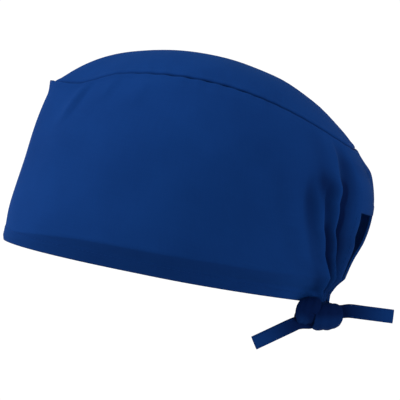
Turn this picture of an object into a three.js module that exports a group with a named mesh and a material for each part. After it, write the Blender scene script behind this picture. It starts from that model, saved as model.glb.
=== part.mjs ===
// A tie-back scrub cap, shown as it sits on a level head: a tall band of cloth goes round the forehead and
// the sides, a domed oval crown is sewn to its top edge, and two narrow ties pull the nape together in a
// knot. Millimetres and degrees. +Z is up, -Y is the wearer's front and +X the wearer's left. The origin is
// in the head opening, RIM_FRONT behind the forehead edge and RIM_BACK in front of the nape edge.
import * as THREE from "three";

// Cloth and clearances
const CLOTH = 1.5; // thickness of the band and the crown
const GAP = 0.35; // between pieces that meet

// Head opening: the lower edge of the band
const RIM_FRONT = 100; // origin to the forehead edge
const RIM_BACK = 104.5; // origin to the nape edge
const RIM_HALF_WIDTH = 77;
const RIM_RISE = 19; // the forehead edge is this far above the origin
const RIM_DROP = 21; // and the nape edge this far below it
const RIM_DIP = 1; // the edge hangs this much lower over the ears
const RIM_FRONT_ROUNDING = 2.3; // 2 is an ellipse, more is squarer
const RIM_BACK_ROUNDING = 1.75; // less than 2 is more pointed

// Crown seam: the line where the band meets the crown
const SEAM_FRONT = 70;
const SEAM_BACK = 121.5;
const SEAM_HALF_WIDTH = 54;
const SEAM_ROUNDING = 2.2;
const SEAM_HEIGHT = 120.5; // of its highest points, beside the crown of the head
const SEAM_HIGHEST = -25; // how far back those points are
const SEAM_FRONT_DROP = 4.5;
const SEAM_BACK_DROP = 46.5;
const SEAM_FALL = 2.5; // power of its fall towards the back

// Crown
const CROWN_HEIGHT = 137.5;
const CROWN_MIDDLE = -5; // how far back its highest point is
const CROWN_FALL = 2.1; // power of its fall towards the seam
const CROWN_BACK_FULLNESS = 0.25; // how square that fall is towards the back

// Band: how far it swells out past the straight line from the rim to the seam
const FRONT_BILLOW = 3;
const SIDE_BILLOW = 20;
const SIDE_FULLNESS = 1.6; // power of its fading towards the front and the back; less is fuller
const BACK_BILLOW = 17.5;
const CREASE_HEIGHT = 14.5; // the cloth below this crease turns in under the band
const CREASE_FRONT_HEIGHT = 5; // the same at the forehead, where the crease runs out

// The band's sections from the rim up. up is the share of the rows' way from the rim to the seam, lean how
// far towards the seam's outline, and the last three are shares of the three billows.
const CREASE_UP = 0.14;
const CREASE_ROW = 2; // its row in SECTIONS
const SECTIONS = [
  { name: "rim", up: 0, lean: 0, front: 0, side: 0, back: 0 },
  { name: "turned_in", up: 0.07, lean: 0.04, front: 0.35, side: 0.28, back: 0.04 },
  { name: "crease", up: CREASE_UP, lean: 0.11, front: 0.7, side: 0.6, back: 0.43 },
  { name: "low", up: 0.26, lean: 0.22, front: 1, side: 0.8, back: 0.6 },
  { name: "belly", up: 0.4, lean: 0.36, front: 1, side: 0.94, back: 0.88 },
  { name: "middle", up: 0.55, lean: 0.5, front: 0.8, side: 1, back: 1 },
  { name: "upper", up: 0.7, lean: 0.64, front: 0.5, side: 0.95, back: 0.94 },
  { name: "shoulder", up: 0.84, lean: 0.79, front: 0.2, side: 0.72, back: 0.62 },
  { name: "below_seam", up: 0.94, lean: 0.91, front: 0.05, side: 0.37, back: 0.28 },
  { name: "seam", up: 1, lean: 1, front: 0, side: 0, back: 0 },
];

// Folds. Each is a crest that rises from its side towards the forehead and falls towards the back, or a
// valley where height is negative. It runs from low to high, as shares of the way up, over three columns:
// lowAt, bendAt where it passes FOLD_BEND_UP, and highAt. A column is named by its angle from the forehead,
// to the wearer's left. rise and fall are half widths in degrees, and height is a share of FOLD_DEPTH.
const FOLD_DEPTH = 4;
const FOLD_BEND_UP = 0.27;
const FOLDS = [
  { low: 0.3, high: 0.78, lowAt: 150, bendAt: 150, highAt: 150, rise: 4.5, fall: 4, height: -0.25 },
  { low: -0.04, high: 0.6, lowAt: 159.4, bendAt: 158.6, highAt: 160.6, rise: 2.4, fall: 17, height: -1.1 },
  { low: 0.46, high: 1, lowAt: 167, bendAt: 167, highAt: 170, rise: 3.2, fall: 3.6, height: -0.8 },
  { low: 0.1, high: 0.72, lowAt: 147, bendAt: 147, highAt: 146, rise: 12, fall: 3, height: 0.35 },
  { low: -0.02, high: 0.7, lowAt: 154.6, bendAt: 154.4, highAt: 157.4, rise: 5, fall: 1.2, height: 0.9 },
  { low: -0.02, high: 0.78, lowAt: 161.2, bendAt: 159.8, highAt: 162.2, rise: 2.8, fall: 1.1, height: 1.4 },
  { low: 0.56, high: 1, lowAt: 162.2, bendAt: 162.2, highAt: 163.6, rise: 6, fall: 1.6, height: 0.5 },
  { low: 0.02, high: 1, lowAt: 175, bendAt: 175, highAt: 173.5, rise: 5, fall: 6, height: 0.6 },
  { low: 0.3, high: 0.78, lowAt: -151, bendAt: -151, highAt: -150, rise: 4.5, fall: 4, height: -0.25 },
  { low: 0, high: 0.86, lowAt: -159.4, bendAt: -158, highAt: -160, rise: 3, fall: 17, height: -1.1 },
  { low: 0.1, high: 0.7, lowAt: -147, bendAt: -147, highAt: -145, rise: 10, fall: 3, height: 0.35 },
  { low: 0.04, high: 0.76, lowAt: -153.8, bendAt: -153.4, highAt: -156, rise: 5, fall: 1.2, height: 0.9 },
  { low: 0.02, high: 0.94, lowAt: -161.2, bendAt: -159.6, highAt: -163.4, rise: 3, fall: 1.2, height: 1.3 },
  { low: 0.02, high: 1, lowAt: -175, bendAt: -175, highAt: -173, rise: 6, fall: 6, height: 0.8 },
  { low: 0.72, high: 0.99, lowAt: 22, bendAt: 22, highAt: 22, rise: 3.2, fall: 3.2, height: 0.35 },
  { low: 0.66, high: 0.98, lowAt: 27.5, bendAt: 27.5, highAt: 27.5, rise: 3, fall: 3, height: -0.3 },
  { low: 0.72, high: 0.99, lowAt: 52, bendAt: 52, highAt: 52, rise: 4.5, fall: 4.5, height: 0.2 },
  { low: 0.74, high: 0.99, lowAt: -30, bendAt: -30, highAt: -30, rise: 4, fall: 4, height: 0.3 },
  { low: 0.7, high: 0.98, lowAt: -47, bendAt: -47, highAt: -47, rise: 5, fall: 5, height: -0.2 },
];
const FACING_STEP = 0.5; // degrees to each side of a column, to find which way the plain band faces there

// Gathering at the nape: columns of cloth are drawn towards the knot, most at the rim
const GATHER = 0.76; // share of the angle to the middle of the back that is taken up at the rim
const GATHER_FROM = 84; // angle where it starts
const GATHER_FULL = 150; // angle where it is complete
const GATHER_TOP = 0.6; // share of the way up where it ends

// Slit at the middle of the back, above the knot
const SLIT_TOP_UP = 0.56; // share of the way up where it ends
const SLIT_HALF_WIDTH = 18;
const SLIT_ASIDE = 4; // its middle lies this far to the wearer's left, towards the knot
const SLIT_WIDTHS = [
  { up: 0, share: 0.13 },
  { up: 0.14, share: 0.18 },
  { up: 0.3, share: 0.24 },
  { up: 0.35, share: 0.5 },
  { up: 0.41, share: 0.76 },
  { up: SLIT_TOP_UP, share: 1 },
  { up: 1, share: 0.9 },
];

// Ties and their knot. The knot's own frame is centred on it: along its length (towards the back), up, out.
const TIE_WIDTH = 8.6;
const TIE_THICK = 1.7;
const TIE_ROOT_WIDTH = 6; // where it leaves the band's corner
const TIE_ROOT_DROP = 1.2; // it goes straight down this far first
const KNOT_ASIDE = 16; // how far to the wearer's left of the middle of the back
const KNOT_BEHIND = -2.4; // how far behind the nape edge, so a little in front of it
const KNOT_BELOW = 8.5; // how far below the nape edge
const KNOT_TURN = 30; // its length is turned this far from straight back
// The ties' places in the knot's frame, from the band's corner to the free end. The right tie wraps over the
// top and down the front, the left one the other way up, and each runs out through the other's wrap. face is
// the angle that its flat side looks to, round the knot's length: 0 is up and 90 is out.
const RIGHT_TIE = [
  { name: "behind", along: 11.8, up: 3.4, out: -6.2, face: -50, width: 6.4 },
  { name: "over", along: 8.4, up: 6.8, out: 0, face: 5, width: 11 },
  { name: "front_top", along: 7, up: 4.9, out: 4.6, face: 45, width: 15 },
  { name: "front", along: 6.5, up: 0, out: 6.2, face: 90, width: 15.5 },
  { name: "front_low", along: 6.2, up: -4.9, out: 4.6, face: 135, width: 15 },
  { name: "under", along: 5.6, up: -7.2, out: 0.2, face: 180, width: 11 },
  { name: "turned", along: 2.5, up: -6.4, out: -1.8, face: 185, width: 7.4 },
  { name: "between", along: -2.5, up: -4, out: -0.6, face: 180, width: 7 },
  { name: "inside", along: -9, up: -2.8, out: 0.3, face: 175, width: 6 },
  { name: "leaving", along: -15, up: -3, out: 0.8, face: 155, width: 6.6 },
];
const LEFT_TIE = [
  { name: "behind_top", along: -2.5, up: 5, out: -10.6, face: -90, width: 6 },
  { name: "behind_low", along: -9, up: -3.6, out: -7.2, face: -110, width: 8 },
  { name: "under", along: -9, up: -7, out: -0.5, face: -180, width: 11 },
  { name: "front_low", along: -8.9, up: -4.9, out: 4.6, face: -225, width: 12 },
  { name: "front", along: -8.7, up: 0, out: 6.2, face: -270, width: 12 },
  { name: "front_top", along: -8.4, up: 4.9, out: 4.6, face: -315, width: 11.5 },
  { name: "over", along: -7.6, up: 7.2, out: 0.2, face: -360, width: 9.6 },
  { name: "turned", along: -4.4, up: 6.2, out: -1.8, face: -365, width: 7.6 },
  { name: "between", along: 0.5, up: 4.2, out: -0.6, face: -360, width: 7 },
  { name: "inside", along: 7, up: 3, out: 0.3, face: -355, width: 6 },
  { name: "leaving", along: 14.5, up: 3.1, out: 0.8, face: -340, width: 6.6 },
];
// The free ends, flat and facing out
const RIGHT_TIE_TAIL = [
  { along: -20.2, up: -4.5, out: 3 },
  { along: -28.3, up: -7.8, out: 3.5 },
  { along: -36.1, up: -11.1, out: 3.5 },
  { along: -44.4, up: -14.7, out: 3 },
];
const LEFT_TIE_TAIL = [
  { along: 18.2, up: 3.9, out: 4 },
  { along: 26.5, up: 2.8, out: 6.5 },
  { along: 35.4, up: 1.6, out: 9 },
  { along: 44.1, up: 0.4, out: 11 },
];

// How the cloth is divided into faces
const FRONT_COLUMN_STEP = 7.5;
const BACK_COLUMN_STEP = 1.2;
const BACK_COLUMNS_FROM = 133; // angle where the narrow columns of the gathers start
const SLIT_COLUMN = 175; // angle of the column that follows the slit's edge
const LOW_ROWS = [0, 0.07, CREASE_UP, 0.2, 0.27, 0.35, 0.43, 0.5];
const HIGH_ROWS = [SLIT_TOP_UP, 0.62, 0.68, 0.74, 0.8, 0.87, 0.94, 1];
const BAND_ROWS = [...LOW_ROWS, ...HIGH_ROWS];
const CROWN_ROWS = [1, 0.86, 0.68, 0.46, 0.23];
const TIE_STEPS_PER_POINT = 3;

const BLUE = 0x14397c;

const radians = (degrees) => (degrees * Math.PI) / 180;
const mix = (a, b, share) => a + (b - a) * share;
const clamp = (x) => Math.min(1, Math.max(0, x));
const smooth = (x) => clamp(x) * clamp(x) * (3 - 2 * clamp(x));

// The value of a table's column at x, straight between its rows.
function along(table, key, column, x) {
  const i = Math.max(1, table.findIndex((row) => row[key] >= x));
  const [a, b] = [table[i - 1], table[i]];
  return mix(a[column], b[column], clamp((x - a[key]) / (b[key] - a[key])));
}

// The value of a column of SECTIONS: straight stretches from the rim to the crease, then a smooth curve to
// the seam.
function section(column, up) {
  if (up <= CREASE_UP) return along(SECTIONS, "up", column, up);
  const last = SECTIONS.length - 1;
  const i = Math.max(CREASE_ROW + 1, SECTIONS.findIndex((row) => row.up >= up));
  const slope = (k) => {
    const [a, b] = [SECTIONS[Math.max(CREASE_ROW, k - 1)], SECTIONS[Math.min(last, k + 1)]];
    return (b[column] - a[column]) / (b.up - a.up);
  };
  const [a, b] = [SECTIONS[i - 1], SECTIONS[i]];
  const span = b.up - a.up;
  const t = (up - a.up) / span;
  const [t2, t3] = [t * t, t * t * t];
  return (
    (2 * t3 - 3 * t2 + 1) * a[column] +
    (t3 - 2 * t2 + t) * span * slope(i - 1) +
    (3 * t2 - 2 * t3) * b[column] +
    (t3 - t2) * span * slope(i)
  );
}

// A point of a rounded outline at an angle from the front, about its own middle.
function outline(angle, halfWidth, reach, rounding) {
  const [s, c] = [Math.sin(radians(angle)), Math.cos(radians(angle))];
  const [aside, ahead] = [Math.abs(s / halfWidth), Math.abs(c / reach)];
  const radius = 1 / Math.pow(Math.pow(aside, rounding) + Math.pow(ahead, rounding), 1 / rounding);
  return [radius * s, -radius * c];
}

function rimPoint(angle) {
  const towardsBack = (1 - Math.cos(radians(angle))) / 2;
  const reach = Math.abs(angle) < 90 ? RIM_FRONT : RIM_BACK;
  const rounding = mix(RIM_FRONT_ROUNDING, RIM_BACK_ROUNDING, smooth(towardsBack));
  const [x, y] = outline(angle, RIM_HALF_WIDTH, reach, rounding);
  const slope = (y < 0 ? RIM_RISE : RIM_DROP) / reach;
  const z = -slope * y - RIM_DIP * Math.pow(x / RIM_HALF_WIDTH, 2);
  return new THREE.Vector3(x, y, z);
}

function seamPoint(angle) {
  const middle = (SEAM_BACK - SEAM_FRONT) / 2;
  const [x, fromMiddle] = outline(angle, SEAM_HALF_WIDTH, (SEAM_BACK + SEAM_FRONT) / 2, SEAM_ROUNDING);
  const y = fromMiddle + middle;
  const front = clamp((SEAM_HIGHEST - y) / (SEAM_HIGHEST + SEAM_FRONT));
  const back = clamp((y - SEAM_HIGHEST) / (SEAM_BACK - SEAM_HIGHEST));
  const drop = SEAM_FRONT_DROP * front * front + SEAM_BACK_DROP * Math.pow(back, SEAM_FALL);
  return new THREE.Vector3(x, y, SEAM_HEIGHT - drop);
}

// The angle at which a column of cloth stands, at a share of the way up: drawn in by the gathers and by the
// slit.
function columnAngle(column, up) {
  const side = Math.sign(column) || 1;
  const from = Math.abs(column);
  const gathered = smooth((from - GATHER_FROM) / (GATHER_FULL - GATHER_FROM));
  const pull = GATHER * gathered * Math.pow(clamp(1 - up / GATHER_TOP), 2);
  // the column at SLIT_COLUMN follows the edge of the slit, and its neighbours make room
  const backReach = mix(RIM_BACK, SEAM_BACK, section("lean", up)) + BACK_BILLOW * section("back", up);
  const halfSlit = (SLIT_HALF_WIDTH + side * SLIT_ASIDE) * along(SLIT_WIDTHS, "up", "share", up);
  const shift = (180 - SLIT_COLUMN) * (1 - pull) - THREE.MathUtils.radToDeg(halfSlit / backReach);
  const beside = smooth((from - BACK_COLUMNS_FROM) / (SLIT_COLUMN - BACK_COLUMNS_FROM));
  const within = (180 - from) / (180 - SLIT_COLUMN);
  return side * (180 - (180 - from) * (1 - pull) + shift * (from <= SLIT_COLUMN ? beside : within));
}

// The column over which a fold runs, at a share of the way up.
function foldColumn(fold, up) {
  const bend = Math.min(Math.max(FOLD_BEND_UP, fold.low + 0.01), fold.high - 0.01);
  if (up < bend) return mix(fold.lowAt, fold.bendAt, clamp((up - fold.low) / (bend - fold.low)));
  return mix(fold.bendAt, fold.highAt, clamp((up - bend) / (fold.high - bend)));
}

function foldOut(column, up) {
  let out = 0;
  for (const fold of FOLDS) {
    const past = (column - foldColumn(fold, up)) * Math.sign(fold.lowAt);
    const away = past / (past < 0 ? fold.rise : fold.fall);
    const window = smooth((up - fold.low) / 0.12) * smooth((fold.high - up) / 0.18);
    out += FOLD_DEPTH * fold.height * Math.exp(-away * away) * window;
  }
  return out;
}

// A point of the band's outer face before its folds are laid.
function plainPoint(column, up) {
  const angle = columnAngle(column, up);
  const [s, c] = [Math.sin(radians(angle)), Math.cos(radians(angle))];
  const [rim, seam] = [rimPoint(angle), seamPoint(angle)];
  const creaseHeight = mix(CREASE_FRONT_HEIGHT, CREASE_HEIGHT, smooth(Math.abs(angle) / 75));
  const crease = creaseHeight / (seam.z - rim.z);
  const above = mix(crease, 1, (up - CREASE_UP) / (1 - CREASE_UP));
  const rise = up < CREASE_UP ? (crease * up) / CREASE_UP : above;
  const ends = c > 0 ? FRONT_BILLOW * section("front", up) : BACK_BILLOW * section("back", up);
  const out = Math.pow(Math.abs(s), SIDE_FULLNESS) * SIDE_BILLOW * section("side", up) + c * c * ends;
  const lean = section("lean", up);
  const [x, y] = [mix(rim.x, seam.x, lean) + out * s, mix(rim.y, seam.y, lean) - out * c];
  return new THREE.Vector3(x, y, mix(rim.z, seam.z, rise));
}

// A point of the band's outer face. Its folds stand straight out of the plain band.
function bandPoint(column, up) {
  const side = Math.sign(column) || 1;
  const before = plainPoint(side * Math.max(Math.abs(column) - FACING_STEP, 0), up);
  const after = plainPoint(side * Math.min(Math.abs(column) + FACING_STEP, 180), up);
  const facing = new THREE.Vector3(after.y - before.y, before.x - after.x, 0).setLength(side);
  return plainPoint(column, up).addScaledVector(facing, foldOut(column, up));
}

// A point of the crown's outer face, at a share of the way from its highest point to the seam.
function crownPoint(column, share) {
  const angle = columnAngle(column, 1);
  const seam = seamPoint(angle);
  const fullness = CROWN_BACK_FULLNESS * smooth((1 - Math.cos(radians(angle))) / 2);
  const fall = (1 - fullness) * Math.pow(share, CROWN_FALL) + fullness * Math.pow(share, 6);
  const z = CROWN_HEIGHT - (CROWN_HEIGHT - seam.z) * fall;
  return new THREE.Vector3(seam.x * share, mix(CROWN_MIDDLE, seam.y, share), z);
}

// The columns' angles round the cap, from the back on the wearer's right to the back on the left.
function columnAngles() {
  const half = [];
  for (let a = 0; a < BACK_COLUMNS_FROM; a += FRONT_COLUMN_STEP) half.push(a);
  const count = Math.round((SLIT_COLUMN - BACK_COLUMNS_FROM) / BACK_COLUMN_STEP);
  for (let k = 0; k <= count; k++) half.push(mix(BACK_COLUMNS_FROM, SLIT_COLUMN, k / count));
  half.push(180 - (180 - SLIT_COLUMN) / 3);
  const left = half.filter((a) => a > 0);
  return [...left.map((a) => -a).reverse(), ...half];
}

// The direction out of the cloth at each point of a grid of columns and rows, by the points beside it.
function outwards(grid, column, row) {
  const count = grid.length;
  const top = grid[column].length - 1;
  const [before, after] = [grid[(column + count - 1) % count][row], grid[(column + 1) % count][row]];
  const [below, above] = [grid[column][Math.max(0, row - 1)], grid[column][Math.min(top, row + 1)]];
  const round = new THREE.Vector3().subVectors(after, before);
  const up = new THREE.Vector3().subVectors(above, below);
  return round.cross(up).normalize();
}

// A closed shell from the points of its outer and inner faces, in columns round a ring. isOpen says which
// cells are left out, and cap gives the outer and inner points that close the last row.
function shell(outer, inner, isOpen, cap = null) {
  const [columns, rows] = [outer.length, outer[0].length];
  const positions = [];
  const faces = [];
  const known = new Map();
  const corner = (i, j, side) => {
    const key = `${i % columns},${j},${side}`;
    if (!known.has(key)) {
      known.set(key, positions.length / 3);
      const p = (side === "out" ? outer : inner)[i % columns][j];
      positions.push(p.x, p.y, p.z);
    }
    return known.get(key);
  };
  const there = (i, j) => j >= 0 && j < rows - 1 && !isOpen((i + columns) % columns, j);
  const wall = (a, b) => {
    const [outA, outB] = [corner(...a, "out"), corner(...b, "out")];
    const [inA, inB] = [corner(...a, "in"), corner(...b, "in")];
    faces.push(outB, outA, inA, outB, inA, inB);
  };
  for (let i = 0; i < columns; i++)
    for (let j = 0; j < rows - 1; j++) {
      if (!there(i, j)) continue;
      const cell = [[i, j], [i + 1, j], [i + 1, j + 1], [i, j + 1]];
      const [a, b, c, d] = cell.map((p) => corner(...p, "out"));
      const [e, f, g, h] = cell.map((p) => corner(...p, "in"));
      faces.push(a, b, c, a, c, d, e, g, f, e, h, g);
      if (!there(i, j - 1)) wall(cell[0], cell[1]);
      if (!there(i + 1, j)) wall(cell[1], cell[2]);
      if (!there(i, j + 1) && !(cap && j === rows - 2)) wall(cell[2], cell[3]);
      if (!there(i - 1, j)) wall(cell[3], cell[0]);
    }
  if (cap) {
    const middle = positions.length / 3;
    positions.push(...cap.outer.toArray(), ...cap.inner.toArray());
    for (let i = 0; i < columns; i++) {
      faces.push(corner(i, rows - 1, "out"), corner(i + 1, rows - 1, "out"), middle);
      faces.push(corner(i + 1, rows - 1, "in"), corner(i, rows - 1, "in"), middle + 1);
    }
  }
  const geometry = new THREE.BufferGeometry();
  geometry.setAttribute("position", new THREE.Float32BufferAttribute(positions, 3));
  geometry.setIndex(faces);
  geometry.computeVertexNormals();
  return geometry;
}

// The direction through the cloth where band and crown meet: halfway between their outward directions.
function seamDirection(bandGrid, crownGrid, column) {
  const band = outwards(bandGrid, column, bandGrid[column].length - 1);
  return band.add(outwards(crownGrid, column, 0)).normalize();
}

function bandAndCrown() {
  const angles = columnAngles();
  const bandOuter = angles.map((a) => BAND_ROWS.map((up) => bandPoint(a, up)));
  const crownOuter = angles.map((a) => CROWN_ROWS.map((share) => crownPoint(a, share)));
  const seams = angles.map((_, i) => seamDirection(bandOuter, crownOuter, i));
  const top = BAND_ROWS.length - 1;
  const bandWay = (i, j) => (j === top ? seams[i] : outwards(bandOuter, i, j));
  const bandInner = bandOuter.map((points, i) =>
    points.map((p, j) => p.clone().addScaledVector(bandWay(i, j), -CLOTH)),
  );
  const crownInner = crownOuter.map((points, i) =>
    points.map((p, j) => p.clone().addScaledVector(j ? outwards(crownOuter, i, j) : seams[i], -CLOTH)),
  );
  // the crown's edge stands back from the band's by the gap
  for (let i = 0; i < angles.length; i++) {
    const back = new THREE.Vector3().subVectors(crownOuter[i][1], crownOuter[i][0]).setLength(GAP);
    crownOuter[i][0].add(back);
    crownInner[i][0].add(back);
  }
  // a cell goes from its column to the next one
  const besideSlit = (i) => angles[i] < -SLIT_COLUMN || angles[i] >= SLIT_COLUMN;
  const inSlit = (i, j) => besideSlit(i) && BAND_ROWS[j] < SLIT_TOP_UP;
  const highest = new THREE.Vector3(0, CROWN_MIDDLE, CROWN_HEIGHT);
  const cap = { outer: highest, inner: highest.clone().setZ(highest.z - CLOTH) };
  return {
    band: shell(bandOuter, bandInner, inSlit),
    crown: shell(crownOuter, crownInner, () => false, cap),
  };
}

// The knot's frame, and a point given in it.
function knotFrame() {
  const turn = radians(KNOT_TURN);
  const nape = rimPoint(180);
  return {
    middle: new THREE.Vector3(KNOT_ASIDE, nape.y + KNOT_BEHIND, nape.z - KNOT_BELOW),
    along: new THREE.Vector3(-Math.sin(turn), Math.cos(turn), 0),
    up: new THREE.Vector3(0, 0, 1),
    out: new THREE.Vector3(Math.cos(turn), Math.sin(turn), 0),
  };
}

function inKnot(frame, along, up, out) {
  const at = frame.middle.clone();
  at.addScaledVector(frame.along, along);
  at.addScaledVector(frame.up, up);
  at.addScaledVector(frame.out, out);
  return at;
}

// One tie as a list of places with the way its flat side looks, its width and its thickness: from the band's
// corner, through the knot and on to its free end. side is 1 for the left tie.
function tieStations(side) {
  const frame = knotFrame();
  const left = side > 0;
  const stations = [];
  const corner = bandPoint(side * SLIT_COLUMN, 0);
  const next = bandPoint(side * (SLIT_COLUMN - 22), 0);
  const start = corner.clone().lerp(next, (0.5 * TIE_ROOT_WIDTH) / corner.distanceTo(next));
  const face = new THREE.Vector3(-(next.y - corner.y) * side, (next.x - corner.x) * side, 0).normalize();
  start.addScaledVector(frame.up, -2 * GAP).addScaledVector(face, -CLOTH / 2);
  const below = start.clone().addScaledVector(frame.up, -TIE_ROOT_DROP);
  for (const at of [start, below]) stations.push({ at, face, width: TIE_ROOT_WIDTH, thick: TIE_THICK });
  for (const row of left ? LEFT_TIE : RIGHT_TIE) {
    const angle = radians(row.face);
    const looks = inKnot(frame, 0, Math.cos(angle), Math.sin(angle)).sub(frame.middle);
    const at = inKnot(frame, row.along, row.up, row.out);
    stations.push({ at, face: looks, width: row.width, thick: TIE_THICK });
  }
  for (const row of left ? LEFT_TIE_TAIL : RIGHT_TIE_TAIL) {
    const at = inKnot(frame, row.along, row.up, row.out);
    stations.push({ at, face: frame.out, width: TIE_WIDTH, thick: TIE_THICK });
  }
  return stations;
}

// A flat strip swept along its stations: rounded at its edges and closed at its ends.
function strip(stations) {
  const curve = new THREE.CatmullRomCurve3(stations.map((s) => s.at));
  const steps = (stations.length - 1) * TIE_STEPS_PER_POINT;
  // half of its section, as shares of its width and thickness; the other half is the same turned round
  const half = [[0.5, 0.25], [0.38, 0.5], [-0.38, 0.5], [-0.5, 0.25]];
  const profile = [...half, ...half.map(([w, t]) => [-w, -t])];
  const positions = [];
  const faces = [];
  const face = new THREE.Vector3();
  for (let k = 0; k <= steps; k++) {
    const place = k / TIE_STEPS_PER_POINT;
    const i = Math.min(stations.length - 2, Math.floor(place));
    const [a, b] = [stations[i], stations[i + 1]];
    const share = place - i;
    const at = curve.getPoint(k / steps);
    const way = curve.getTangent(k / steps);
    // a face that turns over does so through the way it last looked
    if (k === 0) face.copy(a.face);
    const wanted = a.face.clone().lerp(b.face, share);
    if (wanted.dot(face) < 0) wanted.negate();
    const across = new THREE.Vector3().crossVectors(wanted, way).normalize();
    face.crossVectors(way, across).normalize();
    const [width, thick] = [mix(a.width, b.width, share), mix(a.thick, b.thick, share)];
    for (const [w, t] of profile) {
      const p = at.clone().addScaledVector(across, w * width).addScaledVector(face, t * thick);
      positions.push(...p.toArray());
    }
  }
  const n = profile.length;
  for (let k = 0; k < steps; k++)
    for (let m = 0; m < n; m++) {
      const [a, b] = [k * n + m, k * n + ((m + 1) % n)];
      faces.push(a, b, b + n, a, b + n, a + n);
    }
  for (let m = 1; m < n - 1; m++) {
    faces.push(0, m + 1, m);
    faces.push(steps * n, steps * n + m, steps * n + m + 1);
  }
  const geometry = new THREE.BufferGeometry();
  geometry.setAttribute("position", new THREE.Float32BufferAttribute(positions, 3));
  geometry.setIndex(faces);
  geometry.computeVertexNormals();
  return geometry;
}

function piece(name, geometry, colour, roughness) {
  const look = { color: colour, roughness, metalness: 0, side: THREE.DoubleSide };
  const material = new THREE.MeshStandardMaterial(look);
  const mesh = new THREE.Mesh(geometry, material);
  mesh.name = name;
  return mesh;
}

const { band, crown } = bandAndCrown();
const cap = new THREE.Group();
cap.name = "scrub_cap";
cap.add(piece("side_band", band, BLUE, 0.85));
cap.add(piece("crown_panel", crown, BLUE, 0.85));
cap.add(piece("tie_left", strip(tieStations(1)), BLUE, 0.8));
cap.add(piece("tie_right", strip(tieStations(-1)), BLUE, 0.8));

export default cap;
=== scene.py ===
"""A tie-back scrub cap of royal blue poplin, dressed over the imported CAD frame.

Shapes are worked out in millimetres and degrees, and go into the meshes in metres. +Z is up, -Y is the
wearer's front and +X the wearer's left. Sizes that part.mjs has too keep their names here. Their values
are the same, but for the soft forms that are finer here: the folds, the slit's edges and the knot's wraps.
"""

import math

import bpy
import numpy as np
from mathutils import Matrix, Vector


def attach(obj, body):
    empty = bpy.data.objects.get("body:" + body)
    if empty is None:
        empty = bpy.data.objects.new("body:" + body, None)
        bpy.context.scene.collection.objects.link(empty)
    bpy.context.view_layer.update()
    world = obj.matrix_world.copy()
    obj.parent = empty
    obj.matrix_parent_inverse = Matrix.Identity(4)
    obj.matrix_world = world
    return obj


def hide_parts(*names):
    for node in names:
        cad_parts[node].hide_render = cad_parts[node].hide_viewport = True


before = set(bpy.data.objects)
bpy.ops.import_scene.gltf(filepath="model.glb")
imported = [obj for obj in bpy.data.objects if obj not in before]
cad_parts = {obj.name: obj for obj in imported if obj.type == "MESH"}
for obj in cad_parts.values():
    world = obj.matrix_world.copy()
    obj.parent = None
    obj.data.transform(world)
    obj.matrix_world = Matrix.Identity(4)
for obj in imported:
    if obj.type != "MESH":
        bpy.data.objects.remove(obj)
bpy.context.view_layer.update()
MM = 0.001
BODY = "root"

# Camera: the photograph's view, from the wearer's left and a little behind
PHOTO_PIXELS = 400
PIXEL = 0.63  # mm of the object to a pixel
VIEW_AZIMUTH = 102.0
VIEW_ELEVATION = 1.5
VIEW_DISTANCE = 1500.0
ORIGIN_PIXEL = (163.0, 268.0)  # where the row's origin is in the photograph
SENSOR = 36.0

# Studio: a white wall at the height of the cap, a dimmer ceiling, and a pale floor
WALL_LIGHT = 1.05
WALL_SINE = 0.11  # sine of the angle up to which the wall is at its full brightness
CEILING_LIGHT = 0.4
CEILING_SINE = 0.3
FLOOR_BELOW = 1600.0  # the cap is held at the height of a standing wearer's head
FLOOR_SIZE = 34000.0
LIGHTS_AIM = (0.0, 0.0, 0.05)  # in metres, as the lights' places and sizes are
LIGHTS = [
    dict(name="key", place=(0.65, -1.7, 1.05), size=0.9, power=38.0),
    dict(name="top", place=(0.0, 0.5, 1.6), size=1.0, power=5.0),
    dict(name="fill", place=(0.8, 1.6, 0.5), size=1.2, power=11.0),
]

# Head opening
RIM_FRONT = 100.0
RIM_BACK = 104.5
RIM_HALF_WIDTH = 77.0
RIM_RISE = 19.0
RIM_DROP = 21.0
RIM_DIP = 1.0
RIM_FRONT_ROUNDING = 2.3
RIM_BACK_ROUNDING = 1.75

# Crown seam
SEAM_FRONT = 70.0
SEAM_BACK = 121.5
SEAM_HALF_WIDTH = 54.0
SEAM_ROUNDING = 2.2
SEAM_HEIGHT = 120.5
SEAM_HIGHEST = -25.0
SEAM_FRONT_DROP = 4.5
SEAM_BACK_DROP = 46.5
SEAM_FALL = 2.5

# Crown
CROWN_HEIGHT = 137.5
CROWN_MIDDLE = -5.0
CROWN_FALL = 2.1
CROWN_BACK_FULLNESS = 0.25
CROWN_BACK_FALL = 6.0

# Band
FRONT_BILLOW = 3.0
SIDE_BILLOW = 20.0
SIDE_FULLNESS = 1.6
BACK_BILLOW = 17.5
CREASE_HEIGHT = 14.5
CREASE_FRONT_HEIGHT = 5.0
CREASE_FRONT_COLUMNS = 75.0  # over which it climbs from that
CREASE_UP = 0.14
CREASE_ROW = 2  # its row in SECTIONS
SECTIONS = [
    dict(name="rim", up=0.0, lean=0.0, front=0.0, side=0.0, back=0.0),
    dict(name="turned_in", up=0.07, lean=0.04, front=0.35, side=0.28, back=0.04),
    dict(name="crease", up=CREASE_UP, lean=0.11, front=0.7, side=0.6, back=0.43),
    dict(name="low", up=0.26, lean=0.22, front=1.0, side=0.8, back=0.6),
    dict(name="belly", up=0.4, lean=0.36, front=1.0, side=0.94, back=0.88),
    dict(name="middle", up=0.55, lean=0.5, front=0.8, side=1.0, back=1.0),
    dict(name="upper", up=0.7, lean=0.64, front=0.5, side=0.95, back=0.94),
    dict(name="shoulder", up=0.84, lean=0.79, front=0.2, side=0.72, back=0.62),
    dict(name="below_seam", up=0.94, lean=0.91, front=0.05, side=0.37, back=0.28),
    dict(name="seam", up=1.0, lean=1.0, front=0.0, side=0.0, back=0.0),
]

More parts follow.
